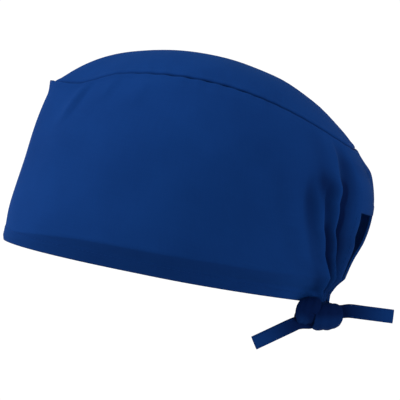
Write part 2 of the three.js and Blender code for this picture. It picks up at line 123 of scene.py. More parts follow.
# Gathers and slit
GATHER = 0.76
GATHER_FROM = 84.0
GATHER_FULL = 150.0
GATHER_TOP = 0.6
SLIT_TOP_UP = 0.56
SLIT_HALF_WIDTH = 20.0
SLIT_ASIDE = 6.0  # its middle lies this far to the wearer's left, towards the knot
SLIT_COLUMN = 175.0
BACK_COLUMNS_FROM = 133.0
SLIT_WIDTHS = [
    dict(up=0.0, share=0.13),
    dict(up=0.14, share=0.17),
    dict(up=0.22, share=0.23),
    dict(up=0.3, share=0.35),
    dict(up=0.35, share=0.5),
    dict(up=0.41, share=0.76),
    dict(up=SLIT_TOP_UP, share=1.0),
    dict(up=1.0, share=0.9),
]

# Folds. Each is a crest that rises from its side towards the forehead and falls towards the back, or a
# valley where height is negative. It runs from low to high, as shares of the way up, over three columns:
# low_at, bend_at where it passes FOLD_BEND_UP, and high_at. A column is named by its angle from the
# forehead, to the wearer's left. rise and fall are half widths in degrees, height a share of FOLD_DEPTH.
FOLD_DEPTH = 4.0
FOLD_BEND_UP = 0.27
FOLD_LEAST_REACH = 0.01  # between the bend and each end
FOLD_LOW_FADE = 0.12  # shares of the way up over which a fold grows from its lower end
FOLD_HIGH_FADE = 0.18  # fades to its upper end
FOLD_SEAM_FADE = 0.012  # and closes at the seam
FOLDS = [
    dict(low=0.16, high=0.72, low_at=151.4, bend_at=151, high_at=150.6, rise=4.2, fall=3.2, height=-0.45),
    dict(low=-0.04, high=0.56, low_at=161.5, bend_at=159.0, high_at=160.8, rise=2.4, fall=17, height=-1.1),
    dict(low=0.46, high=1, low_at=167, bend_at=167, high_at=170, rise=3.2, fall=3.6, height=-0.65),
    dict(low=0.1, high=0.72, low_at=148, bend_at=148, high_at=147, rise=12, fall=3, height=0.35),
    dict(low=-0.02, high=0.7, low_at=157.0, bend_at=154.2, high_at=157.2, rise=5, fall=1.2, height=0.9),
    dict(low=-0.02, high=0.78, low_at=166.5, bend_at=162.4, high_at=162.6, rise=2.8, fall=1.1, height=1.4),
    dict(low=0.06, high=0.62, low_at=168, bend_at=164.8, high_at=164.8, rise=1.2, fall=4.2, height=-0.8),
    dict(low=0.56, high=1, low_at=162.6, bend_at=162.6, high_at=164, rise=6, fall=1.6, height=0.5),
    dict(low=0.02, high=1, low_at=175, bend_at=175, high_at=173.5, rise=5, fall=6, height=0.6),
    dict(low=0.3, high=0.78, low_at=-151, bend_at=-151, high_at=-150, rise=4.5, fall=4, height=-0.25),
    dict(low=0, high=0.86, low_at=-159.4, bend_at=-158, high_at=-160, rise=3, fall=17, height=-1.1),
    dict(low=0.1, high=0.7, low_at=-147, bend_at=-147, high_at=-145, rise=10, fall=3, height=0.35),
    dict(low=0.04, high=0.76, low_at=-153.8, bend_at=-153.4, high_at=-156, rise=5, fall=1.2, height=0.9),
    dict(low=0.02, high=0.94, low_at=-161.2, bend_at=-159.6, high_at=-163.4, rise=3, fall=1.2, height=1.3),
    dict(low=0.02, high=1, low_at=-175, bend_at=-175, high_at=-173, rise=6, fall=6, height=0.8),
    dict(low=0.72, high=1.06, low_at=38.5, bend_at=38.5, high_at=36, rise=3.6, fall=1.5, height=0.52),
    dict(low=0.74, high=1.06, low_at=42, bend_at=42, high_at=39, rise=1.6, fall=3.6, height=-0.3),
    dict(low=0.82, high=1.06, low_at=54, bend_at=54, high_at=51, rise=3.6, fall=1.8, height=0.42),
    dict(low=0.8, high=1.05, low_at=72, bend_at=72, high_at=70, rise=4.5, fall=2.6, height=0.3),
    dict(low=0.74, high=1.04, low_at=-30, bend_at=-30, high_at=-30, rise=4, fall=2, height=0.35),
    dict(low=0.7, high=1.04, low_at=-47, bend_at=-47, high_at=-45, rise=4, fall=3, height=-0.24),
]
FOLDS_DARK_OVER = 6.0  # degrees from BACK_COLUMNS_FROM over which painted shade begins in the folds' hollows
CREST_REACH = 14  # columns to each side in which the crest over a fold is looked for
FULL_DEPTH = 6.0  # mm below the crest where a fold's painted shade is darkest
INSIDE_PAINTED_SHADE = 0.0  # the share of painted shade for the inside of the cap
FACING_STEP = 0.5  # degrees to each side of a column, to find which way the plain band faces there

# Cloth
CLOTH = 1.1  # thickness shown
HEM = 10.0  # width of the turned hem
SLIT_HEM = 6.0  # the same at the slit's edges
HEM_STEP = 0.35  # how far a hem stands out
HEM_STEP_OVER = 0.8
STITCH_INSIDE = 1.6  # how far the stitching lies inside a hem's edge
GROOVE = 0.25  # how far the stitching pulls the cloth in
GROOVE_WIDTH = 0.7
STITCH_LENGTH = 2.3
STITCH_PITCH = 3.0
STITCH_THICK = 0.34
STITCH_LIFT = 0.476  # how far a stitch bows out
STITCH_SIDES = 6
STITCH_RINGS = [
    dict(along=-0.5, size=0.2, lift=-0.35),
    dict(along=-0.42, size=0.8, lift=-0.05),
    dict(along=-0.2, size=1.0, lift=0.12),
    dict(along=0.2, size=1.0, lift=0.12),
    dict(along=0.42, size=0.8, lift=-0.05),
    dict(along=0.5, size=0.2, lift=-0.35),
]
TIE_STITCH_AT = 0.76  # share of a tie's half width
TIE_STITCH_FROM = 17.0  # mm from the knot's middle

# The band's two lower back corners hang over the knot
CORNER_DROP = 5.2
CORNER_COLUMN = 173.0
CORNER_WIDTH = 7.0
CORNER_RISE = 14.0

# Seam between band and crown: the cloth rolls over the allowance and dips into the stitching
SEAM_ROLL = 0.4
SEAM_ROLL_AT = 2.4  # mm from the stitching
SEAM_ROLL_WIDTH = 2.2
SEAM_DIP = 0.75
SEAM_DIP_WIDTH = 0.8
SEAM_PAINTED_SHADE = 0.75  # how dark the painted shade along its stitching line is, as a share of the deepest fold's
SEAM_FRONT_SHARE = 0.45  # of that darkness at the front, where it lies open to the light
SEAM_FRONT_COLUMNS = (45.0, 85.0)  # columns over which it grows darker
PUCKER = 0.3  # height of the small puckers along the seam
PUCKER_FADE = 7.0
PUCKER_LENGTH = 11.0
PUCKER_WANDER = [
    dict(size=2.1, length=37.0, start=0.0),
    dict(size=1.3, length=19.0, start=1.0),
]
PUCKER_STRENGTH = dict(least=0.2, length=29.0, start=0.7)
CROWN_PUCKERS_ON = 4.0  # mm further along than the band's

# The slow unevenness of cloth that nothing stretches. In each row two long waves cross. Their ways are in
# radians to a mm.
DENTS = [
    dict(height=0.55, way=(0.0, 0.061, 0.043), start=0.8, cross=(0.0, -0.03, 0.051), cross_start=2.0),
    dict(height=0.3, way=(0.05, 0.11, -0.07), start=0.0, cross=(0.06, 0.0, 0.083), cross_start=1.1),
]
DENTS_BELOW_SEAM = 12.0  # over which they grow
DENTS_ABOVE_RIM = 20.0
CROWN_DENTS = 0.8  # their share on the crown
CROWN_DENTS_CLOSER = 1.2
CROWN_DENTS_FROM_SEAM = 15.0

# At the front the seam dips to each side of the middle, and the band's top edge stands up before it
NOTCH = 4.6
NOTCH_COLUMN = 31.0
NOTCH_WIDTH = 12.0
LEDGE_RISE = 5.4
LEDGE_COLUMNS = 17.0
LEDGE_AT = 3.2  # mm below the seam
LEDGE_WIDTH = 2.6
LEDGE_CLOSED_OVER = 1.6  # mm below the seam

# The strip turned in below the crease gets painted shade where the crease is sharp
CREASE_SHADE = 0.26
CREASE_SHADE_EDGE = 0.012  # share of the way up over which it begins
CREASE_FROM = (6.0, 50.0)  # columns over which it grows sharp
CREASE_TO = (108.0, 140.0)  # and over which it fades

# Ties
TIE_WIDTH = 8.6
TIE_THICK = 1.7
TIE_ROOT_WIDTH = 6.0
TIE_ROOT_DROP = 1.2
TIE_ROOT_COLUMNS = 22.0  # along the rim, to find which way a tie's root looks
TIE_ROOT_GAP = 0.105  # between a tie and the rim
TURNED_OVER = -0.2  # cosine past which its other side is taken for its face
LEFT_WRAP_SHADE = 0.45  # painted shade of the bunched cloth of the knot, as a share of the deepest fold's
LEFT_WRAP_INNER = 0.5  # more painted shade by this much where it goes in under the other tie
LEFT_WRAP_FROM = -15.0  # along the knot, where that begins
LEFT_WRAP_OVER = 8.0
# the same painted shade for the right tie's bunched cloth
RIGHT_WRAP_SHADE = 0.58
WRAP_TOP_SHADE = 0.55  # more painted shade by this much at its top, under the band
WRAP_TOP_FROM = -3.0  # where that begins, up from the knot's middle
WRAP_TOP_OVER = 8.0
TAIL_SHADE = 0.95  # painted shade of the tails where they leave the knot
TAIL_LIGHT_FROM = 15.0  # mm from the knot's middle where their painted shade begins to fade
TAIL_LIGHT_OVER = 32.0
BUNCHED_FROM = 0.5  # mm wider than a flat tie, where the knot begins to bunch it
BUNCHED_OVER = 4.0
WRAP_CREASE = 0.3  # height of the creases where the knot bunches a tie
WRAP_CREASE_TURNS = 9.0  # radians of them from its middle to an edge
WRAP_CREASE_ASIDE = 1.7  # radians by which its two sides differ
WRAP_CREASE_SLANT = 7.0  # mm along it to a radian
TIE_SQUARENESS = 6.0  # powers of a flat tie's section and of a bunched one's
WRAP_SQUARENESS = 2.2
TIE_EDGE = 0.28  # least thickness of a tie's edges, as a share
TIE_GROOVE = 0.09  # the stitching's groove, as a share of the thickness
TIE_GROOVE_AT = 0.78  # share of the half width
TIE_GROOVE_WIDTH = 0.06  # share of the half width
TIE_STITCH_OUT = 0.46  # share of the thickness at which the stitches lie
KNOT_ASIDE = 16.0
KNOT_BEHIND = -2.4
KNOT_BELOW = 8.5
KNOT_TURN = 30.0
RIGHT_TIE = [
    dict(name="behind", along=8.5, up=3.4, out=-5.4, face=-50, width=9.5, thick=3),
    dict(name="over", along=5.0, up=7.0, out=0, face=5, width=14, thick=4),
    dict(name="front_top", along=4.4, up=5.6, out=5, face=45, width=16, thick=4.4),
    dict(name="front", along=3.0, up=0.8, out=7.2, face=90, width=18, thick=5),
    dict(name="front_low", along=2.2, up=-4.0, out=5.2, face=135, width=17, thick=4.4),
    dict(name="under", along=1.8, up=-6.0, out=0.2, face=180, width=15.5, thick=3.8),
    dict(name="turned", along=0.2, up=-4.6, out=-2.6, face=215, width=12, thick=3),
    dict(name="between", along=-3.8, up=-3.0, out=-1.2, face=190, width=9, thick=2.6),
    dict(name="inside", along=-9, up=-2.8, out=1.4, face=95, width=8, thick=1.7),
    dict(name="leaving", along=-15, up=-2.9, out=2.0, face=92, width=8.2, thick=1.7),
]
LEFT_TIE = [
    dict(name="behind_top", along=-3.0, up=4.6, out=-8.6, face=-90, width=8.5, thick=2.4),
    dict(name="behind_low", along=-8.0, up=0.6, out=-6.2, face=-110, width=12, thick=3),
    dict(name="under", along=-10.2, up=-2.4, out=-0.5, face=-180, width=12, thick=3.8),
    dict(name="front_low", along=-10.6, up=-0.2, out=4.4, face=-225, width=12.4, thick=4.2),
    dict(name="front", along=-11.6, up=4.2, out=6.2, face=-270, width=13.6, thick=4.8),
    dict(name="front_top", along=-8.0, up=8.8, out=5.0, face=-315, width=13, thick=4.2),
    dict(name="over", along=-5.6, up=11.6, out=0.2, face=-360, width=10.5, thick=3.2),
    dict(name="turned", along=-3.0, up=8, out=-2.2, face=-400, width=9, thick=2.6),
    dict(name="between", along=0.5, up=4.4, out=-0.6, face=-275, width=8, thick=1.9),
    dict(name="inside", along=7, up=3.6, out=0.9, face=-272, width=8, thick=1.7),
    dict(name="leaving", along=13.4, up=3.5, out=1.6, face=-270, width=8.2, thick=1.7),
]
RIGHT_TIE_TAIL = [
    dict(along=-20.2, up=-4.5, out=3),
    dict(along=-28.3, up=-7.8, out=3.5),
    dict(along=-36.1, up=-11.1, out=3.5),
    dict(along=-44.4, up=-14.7, out=3),
]
LEFT_TIE_TAIL = [
    dict(along=18.2, up=3.9, out=4),
    dict(along=26.5, up=2.8, out=6.5),
    dict(along=35.4, up=1.6, out=9),
    dict(along=44.1, up=0.4, out=11),
]

# The band's cloth is drawn in above the knot's left lobe. The place is in the knot's frame.
TUCK_DEPTH = 7.0
TUCK_ALONG = -11.5
TUCK_UP = 7.0
TUCK_REACH = 9.0
TUCK_OUT = 6.0  # over which it grows from the knot's middle outwards

# How finely the cloth is divided
FRONT_COLUMN_STEP = 1.6
BACK_COLUMN_STEP = 0.42
SLIT_TOP_STEPS = 6  # columns from the slit's edge to the middle of the back
CREASE_ROWS = 15  # from the rim to the crease
SLIT_ROWS = 36  # on to the slit's top
HIGH_ROWS = 28  # on to the cloth that the seam shapes
SEAM_ROWS = 26  # and on to the seam
SEAM_ROWS_FROM = 0.93  # share of the way up
RUN_ROW = -20  # the row along which the way round the band is measured
SLIT_HEM_COLUMNS = 60  # columns beside the slit in which its hem lies
CROWN_SEAM_ROWS = 20
CROWN_ROWS = 25
CROWN_SEAM_ROWS_TO = 0.9  # share of the way from the crown's middle
CROWN_LEAST = 0.002  # the same for the smallest ring, at its middle
TIE_STEPS = 9  # to each stretch between two stations
TIE_SIDE_POINTS = 17  # across each flat side

# Colours, linear, and finishes
BLUE = (0.0044, 0.0342, 0.1630, 1.0)
BLUE_DEEP = (0.0035, 0.0282, 0.1390, 1.0)
# The colour that painted shade mixes in, fully at the bottom of a fold
BLUE_PAINTED_SHADE = (0.0014, 0.0085, 0.0520, 1.0)
THREAD_COLOUR = (0.0038, 0.0300, 0.1450, 1.0)
CLOTH_SHINE = 0.02
FLOOR_COLOUR = (0.97, 0.97, 0.97, 1.0)
FLOOR_ROUGHNESS = 0.9
THREAD_ROUGHNESS = 0.6
CLOTH_ROUGHNESS = 0.82
SHEEN = 0.03
SHEEN_ROUGHNESS = 0.45
SHEEN_TINT = (0.05, 0.4, 1.0, 1.0)

# Weave. A wave texture at scale 1 has a thread to every 0.314 m of the cloth.
THREAD_PITCH = 0.5
WAVE_PITCH = 0.314
WEAVE_WANDER = 0.6
WEAVE_BUMP = dict(strength=0.25, height=0.05)
SLUB_STRETCHES = [(60.0, 1400.0, 1.0), (1400.0, 60.0, 1.0)]  # to a metre, along and across the threads
SLUB_SHADE = 0.35
SLUB_BUMP = dict(strength=0.3, height=0.12)
DYE_PATCHES = 22.0  # to a metre
DYE_DEEP_AT = 0.55


def smooth(x):
    """0 below 0, 1 above 1, and a soft step between."""
    x = np.clip(x, 0.0, 1.0)
    return x * x * (3.0 - 2.0 * x)


def mix(a, b, share):
    return a + (b - a) * share


def column_of(table, name):
    return np.array([row[name] for row in table], dtype=float)


def nearest(values, value):
    return np.argmin(np.abs(values - value))


def between(at, places, rows):
    """The point at a place among places, on straight lines between the points in rows."""
    return np.array([np.interp(at, places, rows[:, k]) for k in range(3)])


def section(name, up):
    """A column of SECTIONS at up, straight from the rim to the crease, then on a smooth curve to the seam."""
    ups, values = column_of(SECTIONS, "up"), column_of(SECTIONS, name)
    last = len(ups) - 1
    before = np.maximum(np.arange(last + 1) - 1, CREASE_ROW)
    after = np.minimum(np.arange(last + 1) + 1, last)
    slopes = (values[after] - values[before]) / np.where(after > before, ups[after] - ups[before], 1.0)
    i = np.clip(np.searchsorted(ups, up), CREASE_ROW + 1, last)
    span = ups[i] - ups[i - 1]
    t = (up - ups[i - 1]) / span
    curve = (
        (2 * t**3 - 3 * t**2 + 1) * values[i - 1]
        + (t**3 - 2 * t**2 + t) * span * slopes[i - 1]
        + (3 * t**2 - 2 * t**3) * values[i]
        + (t**3 - t**2) * span * slopes[i]
    )
    return np.where(up <= CREASE_UP, np.interp(up, ups, values), curve)


def outline(angle, half_width, reach, rounding):
    s, c = np.sin(np.radians(angle)), np.cos(np.radians(angle))
    radius = (np.abs(s / half_width) ** rounding + np.abs(c / reach) ** rounding) ** (-1.0 / rounding)
    return radius * s, -radius * c


def unit(v):
    return v / np.maximum(np.linalg.norm(v, axis=-1, keepdims=True), 1e-9)


def rim_point(angle):
    towards_back = (1.0 - np.cos(np.radians(angle))) / 2.0
    reach = np.where(np.abs(angle) < 90.0, RIM_FRONT, RIM_BACK)
    rounding = mix(RIM_FRONT_ROUNDING, RIM_BACK_ROUNDING, smooth(towards_back))
    x, y = outline(angle, RIM_HALF_WIDTH, reach, rounding)
    slope = np.where(y < 0.0, RIM_RISE, RIM_DROP) / reach
    return x, y, -slope * y - RIM_DIP * (x / RIM_HALF_WIDTH) ** 2


def seam_point(angle):
    x, y = outline(angle, SEAM_HALF_WIDTH, (SEAM_BACK + SEAM_FRONT) / 2.0, SEAM_ROUNDING)
    y = y + (SEAM_BACK - SEAM_FRONT) / 2.0
    front = np.clip((SEAM_HIGHEST - y) / (SEAM_HIGHEST + SEAM_FRONT), 0.0, None)
    back = np.clip((y - SEAM_HIGHEST) / (SEAM_BACK - SEAM_HIGHEST), 0.0, None)
    notch = NOTCH * np.exp(-(((np.abs(angle) - NOTCH_COLUMN) / NOTCH_WIDTH) ** 2))
    return x, y, SEAM_HEIGHT - SEAM_FRONT_DROP * front**2 - SEAM_BACK_DROP * back**SEAM_FALL - notch


def column_angle(column, up):
    """The angle at which a column of cloth stands: drawn in by the gathers and by the slit."""
    side = np.where(column < 0.0, -1.0, 1.0)
    origin = np.abs(column)
    gathered_up = np.clip(1.0 - up / GATHER_TOP, 0.0, 1.0) ** 2
    pull = GATHER * smooth((origin - GATHER_FROM) / (GATHER_FULL - GATHER_FROM)) * gathered_up
    gathered = 180.0 - (180.0 - origin) * (1.0 - pull)
    reach = mix(RIM_BACK, SEAM_BACK, section("lean", up)) + BACK_BILLOW * section("back", up)
    share = np.interp(up, column_of(SLIT_WIDTHS, "up"), column_of(SLIT_WIDTHS, "share"))
    slit = np.degrees((SLIT_HALF_WIDTH + side * SLIT_ASIDE) * share / reach)
    shift = (180.0 - SLIT_COLUMN) * (1.0 - pull) - slit
    beside = smooth((origin - BACK_COLUMNS_FROM) / (SLIT_COLUMN - BACK_COLUMNS_FROM))
    within = (180.0 - origin) / (180.0 - SLIT_COLUMN)
    return side * (gathered + shift * np.where(origin <= SLIT_COLUMN, beside, within))


def fold_out(column, up):
    """How far the folds stand out of the plain band, or lie in it."""
    out = np.zeros(np.broadcast(column, up).shape)
    for fold in FOLDS:
        bend = min(max(FOLD_BEND_UP, fold["low"] + FOLD_LEAST_REACH), fold["high"] - FOLD_LEAST_REACH)
        places = [fold["low_at"], fold["bend_at"], fold["high_at"]]
        around = np.interp(up, [fold["low"], bend, fold["high"]], places)
        away = (column - around) * np.sign(fold["low_at"])
        away = away / np.where(away < 0.0, fold["rise"], fold["fall"])
        window = smooth((up - fold["low"]) / FOLD_LOW_FADE) * smooth((fold["high"] - up) / FOLD_HIGH_FADE)
        window = window * smooth((1.0 - up) / FOLD_SEAM_FADE)
        out = out + FOLD_DEPTH * fold["height"] * np.exp(-(away**2)) * window
    return out


def plain_point(column, up):
    """A point of the band's outer face before its folds are laid."""
    angle = column_angle(column, up)
    s, c = np.sin(np.radians(angle)), np.cos(np.radians(angle))
    rim_x, rim_y, rim_z = rim_point(angle)
    seam_x, seam_y, seam_z = seam_point(angle)
    crease = mix(CREASE_FRONT_HEIGHT, CREASE_HEIGHT, smooth(np.abs(angle) / CREASE_FRONT_COLUMNS))
    crease = crease / (seam_z - rim_z)
    above = mix(crease, 1.0, (up - CREASE_UP) / (1.0 - CREASE_UP))
    rise = np.where(up < CREASE_UP, crease * up / CREASE_UP, above)
    ends = np.where(c > 0.0, FRONT_BILLOW * section("front", up), BACK_BILLOW * section("back", up))
    billow = np.abs(s) ** SIDE_FULLNESS * SIDE_BILLOW * section("side", up) + c * c * ends
    lean = section("lean", up)
    x = mix(rim_x, seam_x, lean) + billow * s
    y = mix(rim_y, seam_y, lean) - billow * c
    return np.stack([x, y, mix(rim_z, seam_z, rise)], axis=-1)


def band_point(column, up):
    """A point of the band's outer face. Its folds stand straight out of the plain band."""
    side = np.where(column < 0.0, -1.0, 1.0)
    before = plain_point(side * np.maximum(np.abs(column) - FACING_STEP, 0.0), up)
    after = plain_point(side * np.minimum(np.abs(column) + FACING_STEP, 180.0), up)
    run = side[..., None] * (after - before)
    facing = unit(np.stack([run[..., 1], -run[..., 0], np.zeros_like(run[..., 0])], axis=-1))
    return plain_point(column, up) + facing * fold_out(column, up)[..., None]


def crown_point(column, share):
    """A point of the crown's outer face, at a share of the way from its highest point to the seam."""
    angle = column_angle(column, np.ones_like(column))
    seam_x, seam_y, seam_z = seam_point(angle)
    fullness = CROWN_BACK_FULLNESS * smooth((1.0 - np.cos(np.radians(angle))) / 2.0)
    fall = (1.0 - fullness) * share**CROWN_FALL + fullness * share**CROWN_BACK_FALL
    x = seam_x * share
    y = mix(CROWN_MIDDLE, seam_y, share)
    return np.stack([x, y, CROWN_HEIGHT - (CROWN_HEIGHT - seam_z) * fall], axis=-1)


def outwards(grid):
    """The direction out of the cloth at each point of a ring of columns by rows."""
    around = np.roll(grid, -1, axis=0) - np.roll(grid, 1, axis=0)
    upwards = np.gradient(grid, axis=1)
    return unit(np.cross(around, upwards))


def band_columns():
    """The columns' angles round the cap, from the back on the wearer's right to the back on the left."""
    front = np.arange(0.0, BACK_COLUMNS_FROM, FRONT_COLUMN_STEP)
    count = round((SLIT_COLUMN - BACK_COLUMNS_FROM) / BACK_COLUMN_STEP)
    back = np.linspace(BACK_COLUMNS_FROM, SLIT_COLUMN, count + 1)
    top = np.linspace(SLIT_COLUMN, 180.0, SLIT_TOP_STEPS + 1)[1:]
    half = np.concatenate([front, back, top])
    return np.concatenate([-half[1:-1][::-1], half])


def band_rows():
    """Shares of the way up, closer together at the crease and at the seam, with one row on the slit's top."""
    low = np.linspace(0.0, CREASE_UP, CREASE_ROWS)
    middle = np.linspace(CREASE_UP, SLIT_TOP_UP, SLIT_ROWS)[1:]
    high = np.linspace(SLIT_TOP_UP, SEAM_ROWS_FROM, HIGH_ROWS)[1:]
    seam = np.linspace(SEAM_ROWS_FROM, 1.0, SEAM_ROWS)[1:]
    return np.concatenate([low, middle, high, seam])


def lengths(grid, axis):
    """The length along the cloth to each point, in millimetres, along one axis of a grid."""
    steps = np.linalg.norm(np.diff(grid, axis=axis), axis=-1)
    start = np.zeros_like(np.take(steps, [0], axis=axis))
    return np.cumsum(np.concatenate([start, steps], axis=axis), axis=axis)


def add_object(name, data):
    made = bpy.data.objects.new(name, data)
    bpy.context.scene.collection.objects.link(made)
    return made


def make_mesh(name, points, faces, uv, painted_shade, material, edge_faces=0):
    """An object from points in millimetres and quads. Each point has a flat place on the cloth, in mm, and
    a share of painted shade, from 0 in the open to 1 at the bottom of a fold. The last edge_faces quads are
    shaded flat."""
    mesh = bpy.data.meshes.new(name)
    mesh.from_pydata((points * MM).tolist(), [], faces.tolist())
    layer = mesh.uv_layers.new(name="cloth")
    corners = np.empty(len(mesh.loops), dtype=np.int32)
    mesh.loops.foreach_get("vertex_index", corners)
    layer.data.foreach_set("uv", (uv[corners] * MM).astype(np.float32).ravel())
    painted_shade_layer = mesh.attributes.new("painted_shade", "FLOAT", "POINT")
    painted_shade_layer.data.foreach_set("value", np.asarray(painted_shade, dtype=np.float32).ravel())
    flags = np.ones(len(mesh.polygons), dtype=bool)
    if edge_faces:
        flags[-edge_faces:] = False
    mesh.polygons.foreach_set("use_smooth", flags)
    mesh.materials.append(material)
    mesh.update()
    return add_object(name, mesh)


def shell(name, outer, inner, uv, painted_shade, present, material):
    """A closed sheet of cloth from the grids of its two faces. present says which cells are there."""
    columns, rows = outer.shape[:2]
    index = np.arange(columns * rows).reshape(columns, rows)
    nxt = np.roll(index, -1, axis=0)
    a, b, c, d = index[:, :-1], nxt[:, :-1], nxt[:, 1:], index[:, 1:]
    total = columns * rows
    front = np.stack([a, b, c, d], axis=-1)[present]
    back = np.stack([a, d, c, b], axis=-1)[present] + total
    padded = np.zeros((columns, rows + 1), dtype=bool)
    padded[:, 1:-1] = present
    walls = []
    below = padded[:, 1:-1] & ~padded[:, :-2]
    above = padded[:, 1:-1] & ~padded[:, 2:]
    after = present & ~np.roll(present, -1, axis=0)
    before = present & ~np.roll(present, 1, axis=0)
    for gone, p, q in ((below, a, b), (after, b, c), (above, c, d), (before, d, a)):
        walls.append(np.stack([q[gone], p[gone], p[gone] + total, q[gone] + total], axis=-1))
    walls = np.concatenate(walls)
    points = np.concatenate([outer.reshape(-1, 3), inner.reshape(-1, 3)])
    flat = np.concatenate([uv.reshape(-1, 2)] * 2)
    # Painted shade of each point: the outer face's, and the inside's share on the inner face
    painted_shade_layer = np.concatenate([painted_shade.ravel(), np.full(painted_shade.size, INSIDE_PAINTED_SHADE)])
    faces = np.concatenate([front, back, walls])
    used = np.unique(faces)
    place = np.full(len(points), -1)
    place[used] = np.arange(len(used))
    faces = place[faces]
    return make_mesh(name, points[used], faces, flat[used], painted_shade_layer[used], material, edge_faces=len(walls))


def node(tree, kind, **values):
    made = tree.nodes.new(kind)
    for key, value in values.items():
        if key in made.inputs:
            made.inputs[key].default_value = value
        else:
            setattr(made, key, value)
    return made


def weave_height(tree, place):
    """Threads one way and the other."""
    weave = node(tree, "ShaderNodeMath", operation="ADD")
    for i, direction in enumerate(("X", "Y")):
        wave = node(tree, "ShaderNodeTexWave", wave_type="BANDS", bands_direction=direction, Detail=1.0)
        wave.inputs["Scale"].default_value = WAVE_PITCH / (THREAD_PITCH * MM)
        wave.inputs["Distortion"].default_value = WEAVE_WANDER
        tree.links.new(place.outputs["UV"], wave.inputs["Vector"])
        tree.links.new(wave.outputs["Fac"], weave.inputs[i])
    return weave


def slub_height(tree, place):
    """Slubs: long thin unevenness along each set of threads."""
    slubs = node(tree, "ShaderNodeMath", operation="ADD")
    for i, stretch in enumerate(SLUB_STRETCHES):
        mapping = node(tree, "ShaderNodeMapping", Scale=stretch)
        noise = node(tree, "ShaderNodeTexNoise", Scale=1.0, Detail=2.0)
        tree.links.new(place.outputs["UV"], mapping.inputs["Vector"])
        tree.links.new(mapping.outputs["Vector"], noise.inputs["Vector"])
        tree.links.new(noise.outputs["Fac"], slubs.inputs[i])
    return slubs


def dye_and_painted_shade(tree, slubs):
    """The colour: soft patches of slightly deeper blue, varied by the slubs, and painted shade
    from a point attribute, darkest at the bottom of a fold.
    """
    link = tree.links.new
    coordinates = node(tree, "ShaderNodeTexCoord")
    patches = node(tree, "ShaderNodeTexNoise", Scale=DYE_PATCHES, Detail=3.0)
    link(coordinates.outputs["Object"], patches.inputs["Vector"])
    shade = node(tree, "ShaderNodeMath", operation="MULTIPLY_ADD")
    shade.inputs[1].default_value = SLUB_SHADE
    link(slubs.outputs[0], shade.inputs[0])
    link(patches.outputs["Fac"], shade.inputs[2])
    ramp = node(tree, "ShaderNodeValToRGB")
    ramp.color_ramp.elements[0].position = DYE_DEEP_AT
    ramp.color_ramp.elements[0].color = BLUE_DEEP
    ramp.color_ramp.elements[1].color = BLUE
    link(shade.outputs[0], ramp.inputs["Fac"])
    # Painted shade: a point attribute darkens the colour in folds, along the seam, below the crease and in
    # the knot
    folded = node(tree, "ShaderNodeAttribute", attribute_name="painted_shade")
    darker = node(tree, "ShaderNodeMix", data_type="RGBA", blend_type="MIX")
    darker.inputs["B"].default_value = BLUE_PAINTED_SHADE
    link(folded.outputs["Fac"], darker.inputs["Factor"])
    link(ramp.outputs["Color"], darker.inputs["A"])
    return darker.outputs["Result"]


def bump(tree, height, values):
    made = node(tree, "ShaderNodeBump", Strength=values["strength"], Distance=values["height"] * MM)
    tree.links.new(height.outputs[0], made.inputs["Height"])
    return made


def cloth_material(name):
    """Plain woven cotton and polyester: crossing threads, slubs along them and a faint uneven dye, with
    painted shade from a point attribute in its colour.
    """
    material = bpy.data.materials.new(name)
    material.use_nodes = True
    tree = material.node_tree
    tree.nodes.clear()
    out = node(tree, "ShaderNodeOutputMaterial")
    shader = node(tree, "ShaderNodeBsdfPrincipled", Roughness=CLOTH_ROUGHNESS)
    shader.inputs["Specular IOR Level"].default_value = CLOTH_SHINE
    shader.inputs["Sheen Weight"].default_value = SHEEN
    shader.inputs["Sheen Roughness"].default_value = SHEEN_ROUGHNESS
    shader.inputs["Sheen Tint"].default_value = SHEEN_TINT
    place = node(tree, "ShaderNodeUVMap", uv_map="cloth")
    slubs = slub_height(tree, place)
    fine = bump(tree, weave_height(tree, place), WEAVE_BUMP)
    coarse = bump(tree, slubs, SLUB_BUMP)
    tree.links.new(fine.outputs["Normal"], coarse.inputs["Normal"])
    tree.links.new(coarse.outputs["Normal"], shader.inputs["Normal"])
    tree.links.new(dye_and_painted_shade(tree, slubs), shader.inputs["Base Color"])
    tree.links.new(shader.outputs["BSDF"], out.inputs["Surface"])
    return material


def plain_material(name, colour, roughness):
    material = bpy.data.materials.new(name)
    material.use_nodes = True
    shader = material.node_tree.nodes["Principled BSDF"]
    shader.inputs["Base Color"].default_value = colour
    shader.inputs["Roughness"].default_value = roughness
    shader.inputs["Specular IOR Level"].default_value = CLOTH_SHINE
    return material


def seam_relief(away):
    """How the cloth rolls over the seam allowance and dips into the stitching, by the distance from it."""
    roll = SEAM_ROLL * np.exp(-(((away - SEAM_ROLL_AT) / SEAM_ROLL_WIDTH) ** 2))
    return roll - SEAM_DIP * np.exp(-((away / SEAM_DIP_WIDTH) ** 2))


def puckers(away, run):
    """Small uneven puckers along a seam, by the distance from it and the length along it."""
    turn = 2 * np.pi * run / PUCKER_LENGTH
    for row in PUCKER_WANDER:
        turn = turn + row["size"] * np.sin(run / row["length"] + row["start"])
    swell = (1.0 + np.sin(run / PUCKER_STRENGTH["length"] + PUCKER_STRENGTH["start"])) / 2.0
    return PUCKER * mix(PUCKER_STRENGTH["least"], 1.0, swell) * np.sin(turn) * np.exp(-away / PUCKER_FADE)


def seam_shade(column, away):
    """How dark the painted shade along the seam's stitching line is, by the column and the distance from it.
    """
    first, last = SEAM_FRONT_COLUMNS
    share = mix(SEAM_FRONT_SHARE, 1.0, smooth((np.abs(column) - first) / (last - first)))
    return SEAM_PAINTED_SHADE * share * np.exp(-((away / SEAM_DIP_WIDTH) ** 2))


